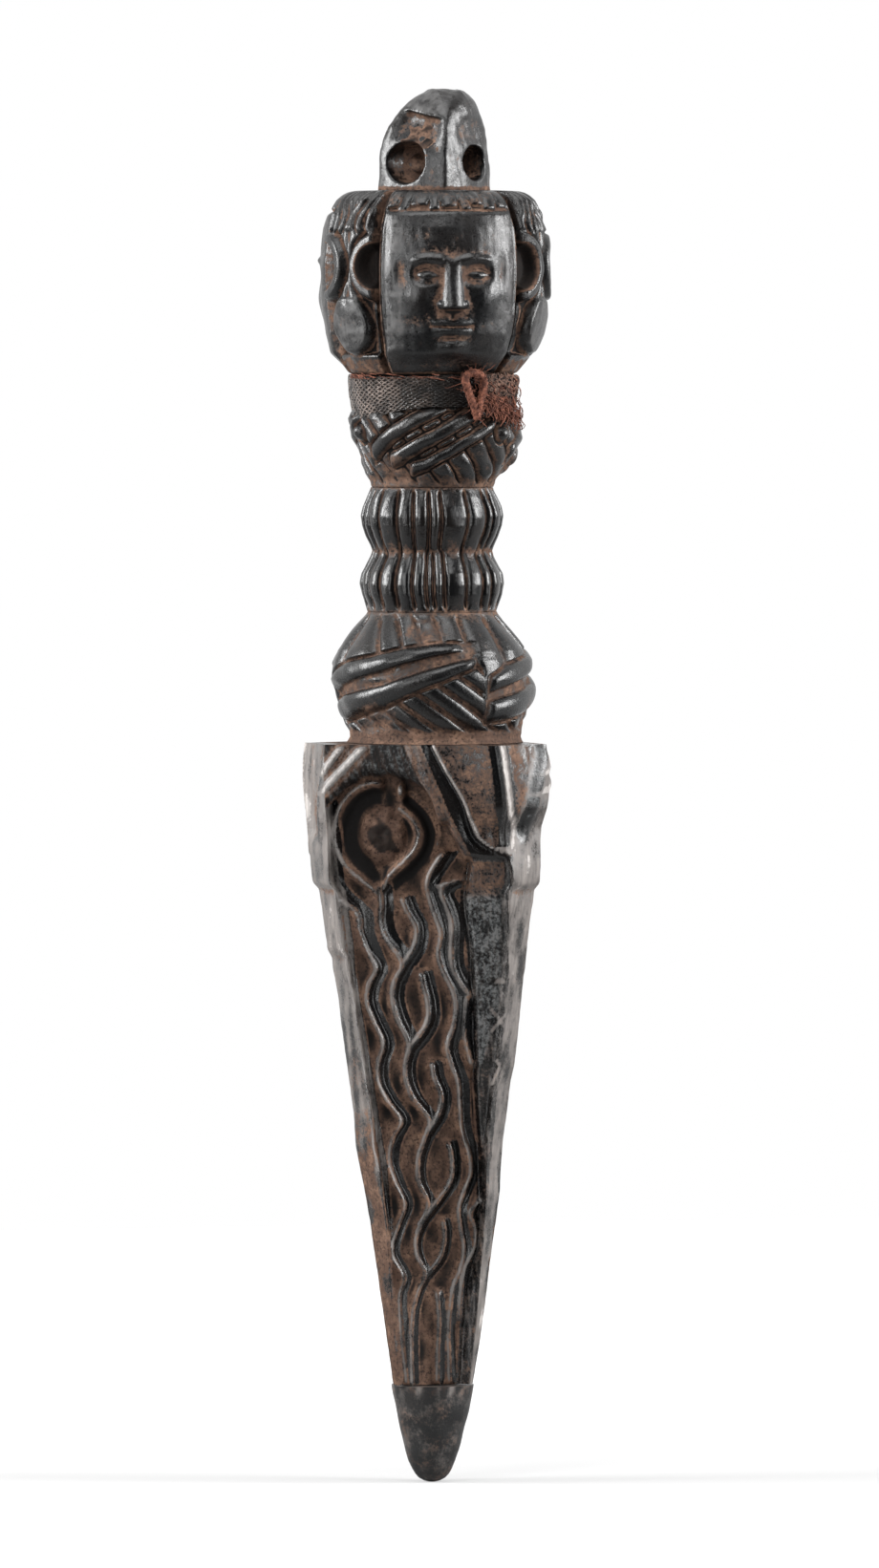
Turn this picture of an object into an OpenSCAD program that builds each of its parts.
// Three-faced ritual dagger in dark hardwood, with a cloth tape round its neck.
// Z runs from the point (0) up to the pierced crown. The front face looks along -Y.
// One billet is carved into all the wooden members, so each member is a solid of its
// own that ends where the carver's own groove, ledge or panel edge is.

/* [Heights] */
// Plain rounded point below the carved panels
tip_h = 20.6; // [15:0.2:30]
// Three-sided blade with the carved panels
blade_h = 134.6; // [115:0.2:160]
// Plain rim between the blade and the lower knot
rim_h = 2.4; // [1.6:0.1:4]
// Large knot above the blade
base_knot_h = 25; // [20:0.2:32]
// Lower fluted bead
lower_bead_h = 12.6; // [10:0.2:16]
// Upper fluted bead
upper_bead_h = 13.4; // [10:0.2:16]
// Small knot under the head
neck_knot_h = 14; // [11:0.2:18]
// Plain neck that the tape is wound on
neck_h = 9.6; // [9:0.1:14]
// Head from the neck to the hair line
head_h = 33.6; // [30:0.2:38]
// Ring of hair locks on top of the head
hair_h = 4.8; // [3.6:0.1:6.5]
// Pierced crown
crown_h = 21; // [18:0.2:25]

/* [Blade] */
// Radius of the point's round nose
nose_r = 4.2; // [3:0.1:5.5]
// Radius over the fins where the panels end above the point
fin_foot_r = 8.6; // [7.6:0.1:10]
// Radius over the fins at the shoulder
fin_shoulder_r = 25.4; // [22:0.1:28]
// How far the rounded shoulder swells past its own radius
shoulder_swell = 1.1; // [0:0.1:2]
// Height of the rounded shoulder
shoulder_h = 20; // [14:0.5:26]
// Width of the worn flat along a fin just above the point
fin_flat_foot = 1.5; // [1:0.1:3]
// Width of the worn flat along a fin at mid blade
fin_flat_mid = 6.8; // [5:0.1:8]
// Width of the flat along a fin at the top
fin_flat_top = 14; // [11:0.2:16]
// Distance of a sunk panel from the axis just above the point
panel_foot_n = 3.8; // [3:0.1:4.2]
// Distance of a sunk panel from the axis at the top of the blade
panel_top_n = 15.6; // [14:0.1:16.4]
// Slope of a panel's side wall, measured across
panel_wall = 1.2; // [0.8:0.1:2]
// Plain border above the sunk panels
panel_border = 3.2; // [2:0.1:6]
// Turn of the whole blade from the point up to its top, in degrees
blade_twist = -24; // [-26:0.5:0]

/* [Carving on the blade] */
// Height of one eye of the plait
eye_pitch = 16.8; // [13:0.2:20]
// Half width of the plait just above the point
plait_foot_half = 5; // [4:0.1:5.4]
// Half width of the plait below the ring
plait_top_half = 8; // [6:0.1:9]
// Sideways place of the plait below the ring
plait_top_shift = -5.6; // [-6.5:0.1:-3]
// Sideways swing of each strand
plait_swing = 1.5; // [0.6:0.1:1.8]
// Width of one carved strand
strand_w = 2.6; // [2:0.1:2.8]
// Height of the carved strands above the sunk panel
strand_h = 2.4; // [1.4:0.1:3]
// Outer radius of the serpent's ring
ring_r = 10.2; // [8:0.1:10.4]
// Width of the ring's body
ring_w = 4.4; // [3.5:0.1:5.5]
// Height of the ring's centre below the top of the blade
ring_drop = 17.6; // [16.6:0.1:20]
// Sideways place of the ring's centre
ring_shift = -7.4; // [-7.6:0.1:-5]
// Radius of the boss inside the ring
boss_r = 3; // [2:0.1:4]
// Height of the leaf at the top of each fin
leaf_h = 23; // [19:0.5:26]
// Width of the leaf's raised arm
leaf_arm_w = 2.6; // [1.6:0.1:3.4]
// Depth of the hollow inside the leaf
leaf_hollow = 1.5; // [0.8:0.1:2]

/* [Grip] */
// Radius of the plain rim
rim_r = 18.4; // [17:0.1:19]
// Radius of the lower knot's core at its widest
base_knot_r = 19.4; // [18:0.1:22]
// Radius of the lower knot where the bead starts
base_knot_top_r = 13.2; // [12:0.1:15]
// Radius of the groove between the beads
bead_groove_r = 12.6; // [11.5:0.1:13.5]
// Radius of the beads at their widest
bead_r = 15.1; // [14:0.1:17]
// Number of flutes round a bead
bead_flutes = 22; // [18:1:26]
// Depth of the flutes
flute_depth = 0.9; // [0.4:0.1:1.3]
// Radius of the neck knot's core at its widest
neck_knot_r = 16.2; // [15:0.1:17.5]
// How far the strands of both knots stand out
knot_strand_h = 1.5; // [0.8:0.1:2]
// Radius of the plain neck under the tape
neck_r = 16; // [14.5:0.1:16.6]

/* [Head] */
// Radius over the ears at the widest
head_r = 24.2; // [23:0.1:26]
// Radius over the head where it meets the neck
head_foot_r = 18.6; // [18.2:0.1:20]
// Radius over the head at the hair line
head_top_r = 22.2; // [21:0.1:23]
// Width of each face
face_w = 26.4; // [24:0.2:27]
// Distance from the axis to the flat seat behind each face
face_seat = 14; // [13:0.1:14.4]
// How far the faces stay inside the ears' radius
face_set_back = 1.2; // [0.5:0.1:2]
// Height of the nose
nose_h = 2.8; // [1.5:0.1:3.5]
// Turn from the front face to the right and left faces, in degrees
face_spread = 124; // [120:1:126]
// Width of the pair of ears on the right and left of the front face
ear_w = 16; // [13:0.2:17]
// Width of the pair of ears at the back
back_ear_w = 11; // [8:0.2:12]
// Radius of an ear's curl, along the middle of its rim
ear_curl_r = 5.4; // [4:0.1:6]
// Thickness of the ears' rolled rims
ear_rim = 3; // [2:0.1:3.6]
// Number of hair locks round the head
hair_locks = 24; // [18:3:30]

/* [Crown] */
// Distance across the crown's flats
crown_w = 16.4; // [15.4:0.1:19]
// Radius over the crown's rounded corners
crown_r = 11.3; // [10.6:0.1:12.6]
// Height of the straight part of the crown
crown_straight_h = 8; // [6:0.2:10]
// Height of the crossing holes' centre above the head
hole_h = 6; // [6:0.1:7]
// Radius of the hole that starts on the left of the front corner
left_hole_r = 4.2; // [3:0.1:4.4]
// Radius of the hole that starts on the right of the front corner
right_hole_r = 3.7; // [3:0.1:4.4]

/* [Cloth] */
// Width of the woven tape
tape_w = 8.6; // [6:0.2:8.8]
// Thickness of the tape
tape_t = 0.5; // [0.3:0.05:0.7]
// Free space between the turns of the tape
tape_gap = 0.45; // [0.41:0.01:0.6]
// Turns of the tape round the neck
tape_turns = 2; // [1:1:3]
// Width of the loose end of the tape
tail_w = 8; // [5:0.2:10]
// Diameter of the frayed thread
thread_d = 1.7; // [1.2:0.1:2.2]

/* [Fit] */
// Space left under relief that is seated on a carved floor
seat_gap = 0.1; // [0.05:0.01:0.2]
// Space left round soft pieces
cloth_gap = 0.3; // [0.2:0.05:0.4]

/* [Hidden] */
wood = "#2a1d18";
worn_wood = "#3b2a22";
grime_wood = "#4a3226";
tape_cloth = "#2b2220";
thread_cloth = "#6d3527";

SIDES = ["front", "right", "left"];

// Levels, each stacked on the one below
z_step = tip_h;
z_blade = z_step + blade_h;
z_base_knot = z_blade + rim_h;
z_lower_bead = z_base_knot + base_knot_h;
z_upper_bead = z_lower_bead + lower_bead_h;
z_neck_knot = z_upper_bead + upper_bead_h;
z_neck = z_neck_knot + neck_knot_h;
z_head = z_neck + neck_h;
z_hair = z_head + head_h;
z_crown = z_hair + hair_h;
z_shoulder = z_blade - shoulder_h;
z_leaf = z_blade - leaf_h;
z_panel_top = z_blade - panel_border;
z_ring = z_blade - ring_drop;
z_plait_top = z_ring - ring_r - seat_gap;

// Small forms that follow from no other size
skin_t = 0.4;
crown_top_r = 4.6;
pair_share = 0.85;
face_columns = 16;
face_rows = 22;
small = 0.01;
past = 1;

function mix(a, b, t) = a + (b - a) * t;
function clamp(x, low, high) = min(high, max(low, x));
function smooth(t) = let (s = clamp(t, 0, 1)) s * s * (3 - 2 * s);
function share(z, low, high) = clamp((z - low) / (high - low), 0, 1);
function repeat_of(x) = x - floor(x);
// Rounded back of a strand: 1 on its crest and 0 from half its width outwards
function back(x) = sqrt(max(0, 1 - x * x));
function hill(x) = abs(x) < 1 ? (1 + cos(180 * x)) / 2 : 0;
function mean_point(ring) = [for (i = [0:2]) [for (p = ring) p[i]] * [for (p = ring) 1] / len(ring)];

// A point at u sideways and n outwards on a wall whose normal is turned from the front
function on_wall(u, n, z, turn) = [u * cos(turn) + n * sin(turn), u * sin(turn) - n * cos(turn), z];
// A point at radius r in the direction turned from the front
function round_axis(r, turn, z) = on_wall(0, r, z, turn);

// Closed solid through a stack of rings that run the same way with as many points
module skin(rings) {
    n = len(rings[0]);
    m = len(rings);
    foot = n * m;
    top = foot + 1;
    points = concat([for (ring = rings) each ring], [mean_point(rings[0]), mean_point(rings[m - 1])]);
    walls = [for (i = [0:m - 2], j = [0:n - 1])
        let (a = i * n + j, b = i * n + (j + 1) % n)
        each [[a, a + n, b + n], [a, b + n, b]]];
    ends = [for (j = [0:n - 1])
        let (k = (j + 1) % n, last = (m - 1) * n)
        each [[foot, j, k], [top, last + k, last + j]]];
    polyhedron(points, concat(walls, ends), convexity = 8);
}

// Closed loop of sections that run the same way with as many points
module loop_skin(sections) {
    n = len(sections[0]);
    m = len(sections);
    polyhedron(
        [for (s = sections) each s],
        [for (i = [0:m - 1], j = [0:n - 1])
            let (a = i * n + j, b = i * n + (j + 1) % n, c = ((i + 1) % m) * n + j, d = ((i + 1) % m) * n + (j + 1) % n)
            each [[a, c, d], [a, d, b]]],
        convexity = 8);
}

// Solid whose radius is a function of direction and height, given as rings of radii
module turned_carving(heights, radii) {
    columns = len(radii[0]);
    skin([for (i = [0:len(heights) - 1])
        [for (j = [0:columns - 1]) round_axis(radii[i][j], j * 360 / columns, heights[i])]]);
}

// Blade

// The twist grows tighter towards the top
function blade_turn(z) = let (t = (z - z_step) / blade_h) blade_twist * t * (2 + t) / 3;
function side_turn(side) = side == "front" ? 0 : side == "right" ? 120 : -120;
function fin_r(z) = z < z_shoulder
    ? mix(fin_foot_r, fin_shoulder_r, share(z, z_step, z_shoulder))
    : fin_shoulder_r + shoulder_swell * sin(150 * share(z, z_shoulder, z_blade));
function fin_half(z) = mix(
    mix(fin_flat_foot, fin_flat_mid, share(z, z_step, z_step + blade_h / 3)),
    fin_flat_top,
    smooth(share(z, z_leaf - leaf_h, z_panel_top))) / 2;
// Half width of a panel between the edges of its two fins, and how far out those edges lie
function panel_half(z) = fin_r(z) * sin(60) - fin_half(z) * cos(60);
function panel_edge_n(z) = fin_r(z) * cos(60) + fin_half(z) * sin(60);
function panel_n(z) = mix(panel_foot_n, panel_top_n, share(z, z_step, z_blade));
function panel_point(u, rise, z, side) =
    on_wall(u, panel_n(z) + rise, z, side_turn(side) + blade_turn(z));

function blade_section(z, floor_n) = [for (side = ["left", "front", "right"])
    let (turn = side_turn(side) + blade_turn(z), e = panel_half(z), f = e - panel_wall)
    each concat(
        [on_wall(-e, panel_edge_n(z), z, turn)],
        [for (k = [-3:2:3]) on_wall(k * f / 3, floor_n, z, turn)],
        [on_wall(e, panel_edge_n(z), z, turn)])];

module blade_core() {
    steps = 13;
    sunk = [for (i = [0:steps]) mix(z_step, z_panel_top, i / steps)];
    border = [for (t = [0.25, 0.6, 1]) mix(z_panel_top, z_blade, t)];
    color(wood) skin(concat(
        [for (z = sunk) blade_section(z, panel_n(z))],
        [for (z = border) blade_section(z, panel_edge_n(z))]));
}

module blade_tip() {
    flare_h = tip_h - nose_r;
    nose = [for (a = [-90:15:-15]) [nose_r * cos(a), nose_r + nose_r * sin(a)]];
    flank = [for (t = [0.15, 0.45, 0.75, 1])
        [mix(nose_r, fin_foot_r, pow(t, 0.9)), nose_r + flare_h * t]];
    color(worn_wood)
        rotate_extrude($fn = 64) polygon(concat(nose, flank, [[0, tip_h]]));
}

// Relief on the blade's panels

function plait_half(z) = mix(plait_foot_half, plait_top_half, share(z, z_step, z_plait_top));
function plait_middle(z) = mix(-1, plait_top_shift, share(z, z_step + blade_h / 3, z_plait_top));
function plait_wave(z) = cos(360 * (z_plait_top - z) / eye_pitch);
// Sideways places of the four strands: the border, the two sides of the eyes, and the outer one
function strand_places(z) =
    let (
        half = plait_half(z),
        swing = plait_swing * plait_wave(z),
        left = plait_middle(z) - half + swing,
        eye_left = left + 0.66 * half,
        open = 0.5 * half * pow(abs(sin(180 * (z_plait_top - z) / eye_pitch)), 0.8),
        eye_right = eye_left + strand_w + seat_gap + open,
        right = max(plait_middle(z) + half - swing, eye_right + strand_w + seat_gap))
    [left, eye_left, eye_right, right];
function strand_rise(z) = min(strand_h, panel_edge_n(z) - panel_n(z) - seat_gap);

module plait(side) {
    steps = ceil((z_plait_top - z_step) / eye_pitch * 6);
    low = z_step + seat_gap;
    color(wood) skin([for (i = [0:steps])
        let (
            z = mix(low, z_plait_top, i / steps),
            at_end = i == 0 || i == steps,
            crest = at_end ? skin_t : strand_rise(z),
            places = strand_places(z),
            half = strand_w / 2)
        concat(
            [for (p = places) each [
                panel_point(p - half, skin_t, z, side),
                panel_point(p, crest, z, side),
                panel_point(p + half, skin_t, z, side)]],
            [panel_point(places[3] + half, seat_gap, z, side), panel_point(places[0] - half, seat_gap, z, side)])]);
}

// Ring point at angle a and distance r from the ring's centre, in the panel's own plane
function ring_point(a, r, rise, side) =
    panel_point(ring_shift + r * sin(a), rise, z_ring + r * cos(a), side);

module serpent_ring(side) {
    inner = ring_r - ring_w;
    middle = ring_r - ring_w / 2;
    shoulder = ring_w / 4;
    crest = panel_edge_n(z_ring) - panel_n(z_ring) - 0.4;
    color(wood) loop_skin([for (a = [0:15:345]) [
        ring_point(a, ring_r, seat_gap, side),
        ring_point(a, ring_r - shoulder / 2, crest * 0.7, side),
        ring_point(a, middle, crest, side),
        ring_point(a, inner + shoulder / 2, crest * 0.7, side),
        ring_point(a, inner, seat_gap, side)]]);
}

module ring_boss(side) {
    rise = boss_r * 0.6;
    color(grime_wood) skin([
        [for (a = [330:-30:0]) ring_point(a, boss_r, seat_gap, side)],
        [for (a = [330:-30:0]) ring_point(a, boss_r * 0.8, rise * 0.7, side)],
        [for (a = [330:-30:0]) ring_point(a, boss_r * 0.35, rise, side)]]);
}

module serpent(side) {
    serpent_ring(side);
    ring_boss(side);
    plait(side);
}

// The leaf's half that lies on the panel: a raised arm along its slanted edge, a hollow, and the fin's own edge as its rib
module leaf(side) {
    rows = 7;
    low = z_leaf + past;
    high = z_panel_top - seat_gap;
    color(wood) skin([for (i = [0:rows])
        let (
            z = mix(low, high, i / rows),
            t = i / rows,
            depth = panel_edge_n(z) - panel_n(z),
            edge = panel_half(z) - seat_gap,
            arm = mix(edge - panel_wall - 2 * leaf_arm_w, 3.4, pow(t, 1.15)),
            hollow = i == 0 || i == rows ? 0 : leaf_hollow,
            foot = edge - panel_wall,
            hollow_edge = edge - panel_wall * hollow / depth)
        [
            panel_point(arm, seat_gap, z, side),
            panel_point(arm + 0.4, depth, z, side),
            panel_point(arm + leaf_arm_w, depth, z, side),
            panel_point(arm + leaf_arm_w + 0.8, depth - hollow, z, side),
            panel_point(hollow_edge - small, depth - hollow, z, side),
            panel_point(foot, seat_gap, z, side)
        ]]);
}

// Grip

module base_rim() {
    color(grime_wood) translate([0, 0, z_blade])
        rotate_extrude($fn = 96) polygon([[0, 0], [rim_r - 0.8, 0], [rim_r, rim_h / 2], [rim_r - 0.4, rim_h], [0, rim_h]]);
}

// Rows of a knot as [height share, relief]: falling strands below and above, and between
// them the two strands of a rising pair with a groove on both their sides
knot_rows = [
    [0, 0], [0.08, 0], [0.17, 0],
    [0.24, 0.1], [0.28, 0.75], [0.345, 1], [0.41, 0.75],
    [0.45, 0.1], [0.49, 0.75], [0.555, 1], [0.62, 0.75],
    [0.66, 0.1], [0.74, 0], [0.83, 0], [0.92, 0], [1, 0]];

// Knot between two radii. Its columns lean with the strands that fall to the right, four
// columns to a strand. Its rows climb with the three pairs that rise round it in a turn.
module knot(z, height, foot_r, core_r, head_end_r, head_end_power, strands, lean, start, climb) {
    columns = 4 * strands;
    last = len(knot_rows) - 1;
    color(wood) skin([for (i = [0:last])
        let (
            v = knot_rows[i][0],
            in_pair = i > 2 && i < last - 3 ? 1 : 0,
            swell = pow(back(2 * v - 1), v < 0.5 ? 0.8 : head_end_power),
            core = mix(mix(foot_r, head_end_r, v), core_r, swell),
            strand = i == 0 || i == last ? 0 : knot_strand_h)
        [for (j = [0:columns - 1])
            let (
                turn = j * 360 / columns - lean * v,
                along = repeat_of((turn - start) / 120),
                saw = along < pair_share ? along / pair_share : (1 - along) / (1 - pair_share),
                cover = in_pair * smooth(along / 0.08) * smooth((pair_share - along) / 0.08),
                fall = 0.5 * [0, 0.87, 1, 0.87][j % 4],
                relief = mix(fall, 1.3 * knot_rows[i][1], cover))
            round_axis(core + strand * relief, turn, z + height * (v + climb * (saw - 0.5) * sin(180 * v)))]]);
}

module base_knot() {
    knot(z_base_knot, base_knot_h, rim_r - 0.8, base_knot_r, base_knot_top_r, 2.4, 18, 80, 30, 0.4);
}

module neck_knot() {
    knot(z_neck_knot, neck_knot_h, bead_groove_r, neck_knot_r, neck_r, 1, 14, 50, 45, 0.5);
}

module bead(z, height, foot_r, head_end_r) {
    rows = 6;
    columns = bead_flutes * 3;
    heights = [for (i = [0:rows]) z + height * i / rows];
    color(wood) turned_carving(heights, [for (i = [0:rows])
        let (
            v = i / rows,
            swell = sin(180 * v),
            core = mix(mix(foot_r, head_end_r, v), bead_r, swell),
            depth = flute_depth * (0.3 + 0.7 * swell))
        [for (j = [0:columns - 1]) core - depth * [1, 0, 0][j % 3]]]);
}

module lower_bead() {
    bead(z_lower_bead, lower_bead_h, base_knot_top_r, bead_groove_r);
}

module upper_bead() {
    bead(z_upper_bead, upper_bead_h, bead_groove_r, bead_groove_r);
}

// Head

// Radius of the head at a height: a barrel that is fullest a little above its middle
head_full = 0.64;
function barrel_r(z) =
    let (v = share(z, z_head, z_hair))
    v < head_full
        ? mix(head_foot_r, head_r, back(1 - v / head_full))
        : mix(head_top_r, head_r, back((v - head_full) / (1 - head_full) * 0.8) * 2.5 - 1.5);

corner_half = face_w / 2 - 0.7;
corner_r = norm([corner_half, face_seat]);
corner_turn = atan2(corner_half, face_seat);
function face_turn(side) = side == "front" ? 0 : side == "right" ? face_spread : -face_spread;
// Distance from the axis to the flat seat behind a pair of ears, half a gap away from the faces on both its sides
function ear_seat(half_gap) = corner_r * cos(half_gap - corner_turn);

head_outline = [for (side = ["left", "front", "right"])
    each [for (s = [-1, 1])
        let (p = round_axis(corner_r, face_turn(side) + s * corner_turn, 0)) [p[0], p[1]]]];

module barrel(shrink, low, high) {
    steps = 14;
    side = [for (i = [0:steps]) let (z = mix(low, high, i / steps)) [barrel_r(z) - shrink, z]];
    rotate_extrude($fn = 96) polygon(concat([[0, low]], side, [[0, high]]));
}

module head_core() {
    color(grime_wood) union() {
        intersection() {
            translate([0, 0, z_head]) linear_extrude(head_h) polygon(head_outline);
            barrel(2.3, z_head, z_hair);
        }
        translate([0, 0, z_neck]) cylinder(r = neck_r, h = neck_h, $fn = 96);
    }
}

// The face is of a general kind, set out by rule: three equal heights from the chin to the hair line, and five eye widths across
face_third = (head_h - 4) / 3;
face_fifth = face_w / 5;
z_chin = z_hair - 3 * face_third;
z_brow = z_hair - face_third;
z_eye = z_brow - face_third * 0.28;
z_nose = z_hair - 2 * face_third;
z_mouth = z_nose - face_third / 3;

function oval(u, z, cu, cz, ru, rz) = hill(min(1, norm([(u - cu) / ru, (z - cz) / rz])));
function face_features(u, z) =
    let (
        a = abs(u),
        down = share(z, z_nose, z_brow),
        nose_half = mix(face_fifth / 2, face_fifth / 4, down),
        nose = z > z_nose - small && z < z_brow ? mix(nose_h, nose_h / 4, down) * hill(a / (nose_half * 1.6)) : 0,
        brow = 1.1 * oval(a, z, face_fifth, z_brow - 0.02 * (a - face_fifth) * (a - face_fifth), face_fifth * 0.95, 1.9),
        socket = -1.3 * oval(a, z, face_fifth, z_eye - 0.4, face_fifth * 0.8, 3),
        eye = 1.7 * oval(a, z, face_fifth, z_eye, face_fifth * 0.5, 1.5),
        cheek = 0.7 * oval(a, z, face_fifth * 1.2, z_nose + 1, face_fifth, 5),
        mouth = 1.3 * oval(u, z, 0, z_mouth, face_fifth * 0.7, 2),
        chin = 0.9 * oval(u, z, 0, z_chin + 1.5, face_fifth, 3.4))
    nose + brow + socket + eye + cheek + mouth + chin;

function face_n(u, z) =
    let (edge = smooth((face_w / 2 - abs(u)) / 2.2))
    barrel_r(z) - face_set_back - u * u / 58 - 1.4 * (1 - edge) + edge * face_features(u, z);

module face(side) {
    turn = face_turn(side);
    low = z_head + seat_gap;
    color(wood) skin([for (i = [0:face_rows])
        let (z = mix(low, z_hair, i / face_rows))
        concat(
            [for (j = [0:face_columns])
                let (u = face_w * (j / face_columns - 0.5)) on_wall(u, face_n(u, z), z, turn)],
            [on_wall(face_w / 2, face_seat, z, turn), on_wall(-face_w / 2, face_seat, z, turn)])]);
}

// Two ears back to back, which share their inner rims and one long lobe, under three hair locks
module ears(turn, half_gap, width) {
    seat = ear_seat(half_gap);
    z_ear = z_nose + ear_curl_r + ear_rim / 2;
    curl_r = min(ear_curl_r, width / 2 - ear_rim / 2);
    rim_n = barrel_r(z_ear) - ear_rim / 2 - 0.4;
    back_n = seat + 2.2;
    rim_depth = rim_n - back_n + 0.4;
    z_foot = z_head + 3;
    lobe_r = width * 0.28;
    lobe_h = face_third * 1.5;
    lock_r = width / 6 - 0.1;
    lock_h = z_hair - z_ear - curl_r - 0.5;
    z_lobe = z_nose - lobe_h * 0.32;
    color(wood) intersection() {
        rotate([0, 0, turn]) difference() {
            union() {
                translate([-width / 2, -back_n, z_foot]) cube([width, back_n, z_hair - z_foot]);
                for (s = [-1, 1])
                    translate([s * (curl_r + 0.3), -rim_n, z_ear]) rotate([90, 0, 0])
                        rotate([0, 0, s > 0 ? 75 : -105])
                            rotate_extrude(angle = 210, $fn = 48)
                                translate([curl_r, 0]) {
                                    circle(r = ear_rim / 2, $fn = 24);
                                    translate([-ear_rim / 2, -rim_depth]) square([ear_rim, rim_depth]);
                                }
                translate([0, lobe_r - barrel_r(z_lobe), z_lobe]) rotate_extrude($fn = 48)
                    polygon([for (a = [-90:15:90])
                        [lobe_r * pow(max(0, cos(a)), 0.8), lobe_h / 2 * sin(a)]]);
                for (k = [-1:1])
                    translate([k * width / 3, lock_r * 0.6 - back_n, z_hair - lock_h]) {
                        cylinder(r = lock_r, h = lock_h, $fn = 32);
                        sphere(r = lock_r, $fn = 32);
                    }
            }
            translate([-head_r, -seat, z_head - past]) cube([2 * head_r, 2 * head_r, head_h + 2 * past]);
            for (s = [-1, 1])
                rotate([0, 0, s * half_gap]) translate([-face_w / 2 - seat_gap, -2 * head_r, z_head - past])
                    cube([face_w + 2 * seat_gap, 2 * head_r, head_h + 2 * past]);
        }
        barrel(0, z_head, z_hair);
    }
}

module side_ears(side) {
    ears(side * face_spread / 2, face_spread / 2, ear_w);
}

module back_ears() {
    ears(180, 180 - face_spread, back_ear_w);
}

module hair_cap() {
    rows = [0, 0.4, 0.7, 0.9, 1];
    columns = hair_locks * 4;
    color(wood) turned_carving([for (v = rows) z_hair + hair_h * v], [for (v = rows)
        [for (j = [0:columns - 1])
            mix(head_top_r - 4.6, head_top_r - 0.3, back(v))
                - (v == 0 || v == 1 ? 0 : 0.7) * [1, 0.3, 0, 0.3][j % 4]]]);
}

// Crown with its two crossing holes, which meet in a hollow as wide as both

hollow_r = norm([left_hole_r, right_hole_r]);

module crown_finial() {
    shoulder = crown_r - crown_top_r;
    rise = crown_h - crown_straight_h;
    outline = concat(
        [[0, 0], [crown_r, 0]],
        [for (a = [0:15:75]) [crown_top_r + shoulder * cos(a), crown_straight_h + (rise - 0.6) * sin(a)]],
        [[crown_top_r - 0.6, crown_h - 0.3], [crown_top_r - 2, crown_h], [0, crown_h]]);
    color(wood) translate([0, 0, z_crown]) difference() {
        intersection() {
            rotate_extrude($fn = 96) polygon(outline);
            rotate([0, 0, 45]) translate([-crown_w / 2, -crown_w / 2, 0]) cube([crown_w, crown_w, crown_h]);
        }
        for (hole = [[-45, left_hole_r], [45, right_hole_r]])
            rotate([0, 0, hole[0]]) translate([0, crown_w, hole_h]) rotate([90, 0, 0])
                cylinder(r = hole[1], h = 2 * crown_w, $fn = 64);
        translate([0, 0, hole_h]) sphere(r = hollow_r, $fn = 64);
    }
}

// Cloth

tape_in_r = neck_r + cloth_gap;
tape_pitch = tape_t + tape_gap;
tape_out_r = tape_in_r + tape_turns * tape_pitch + tape_t;
echo(str("least gap between turns of the tape: ", tape_pitch - tape_t, " mm"));

module ribbon_band() {
    steps = 24;
    low = z_neck + (neck_h - tape_w) / 2;
    color(tape_cloth) skin([for (i = [0:steps * tape_turns])
        let (
            turn = 40 + i * 360 / steps,
            r = tape_in_r + tape_pitch * i / steps,
            slip = 0.35 * sin(i * 180 / steps))
        [
            round_axis(r, turn, low + slip),
            round_axis(r + tape_t, turn, low + slip),
            round_axis(r + tape_t, turn, low + tape_w + slip),
            round_axis(r, turn, low + tape_w + slip)
        ]]);
}

module ribbon_tail() {
    steps = 6;
    half = tail_w / tape_out_r * 90 / PI;
    color(tape_cloth) skin([for (i = [0:steps])
        let (
            turn = 42 + mix(-half, half, i / steps),
            r = tape_out_r + cloth_gap,
            ragged = 0.6 * (i % 2),
            low = z_neck - 0.6 + ragged,
            high = z_head - 0.8)
        [
            round_axis(r, turn, low),
            round_axis(r + 2 * tape_t, turn, low),
            round_axis(r + 2 * tape_t, turn, high),
            round_axis(r, turn, high)
        ]]);
}

module thread_loop() {
    sides = 6;
    steps = 8;
    r = tape_out_r + cloth_gap + thread_d / 2;
    low = z_neck + 0.6;
    high = z_head - 0.9;
    color(thread_cloth) skin([for (i = [0:steps])
        let (turn = 12 + 3 * sin(i * 360 / steps), z = mix(low, high, i / steps))
        [for (j = [0:sides - 1])
            let (a = j * 360 / sides, c = round_axis(r, turn, z))
            [c[0] + thread_d / 2 * cos(a), c[1] + thread_d / 2 * sin(a), z]]]);
}

crown_finial();
hair_cap();
head_core();
for (s = SIDES)
    face(s);
side_ears(1);  // ears_right
side_ears(-1);  // ears_left
back_ears();  // ears_back
ribbon_band();
ribbon_tail();
thread_loop();
neck_knot();
upper_bead();
lower_bead();
base_knot();
base_rim();
blade_core();
for (s = SIDES)
    leaf(s);
for (s = SIDES)
    serpent(s);
blade_tip();
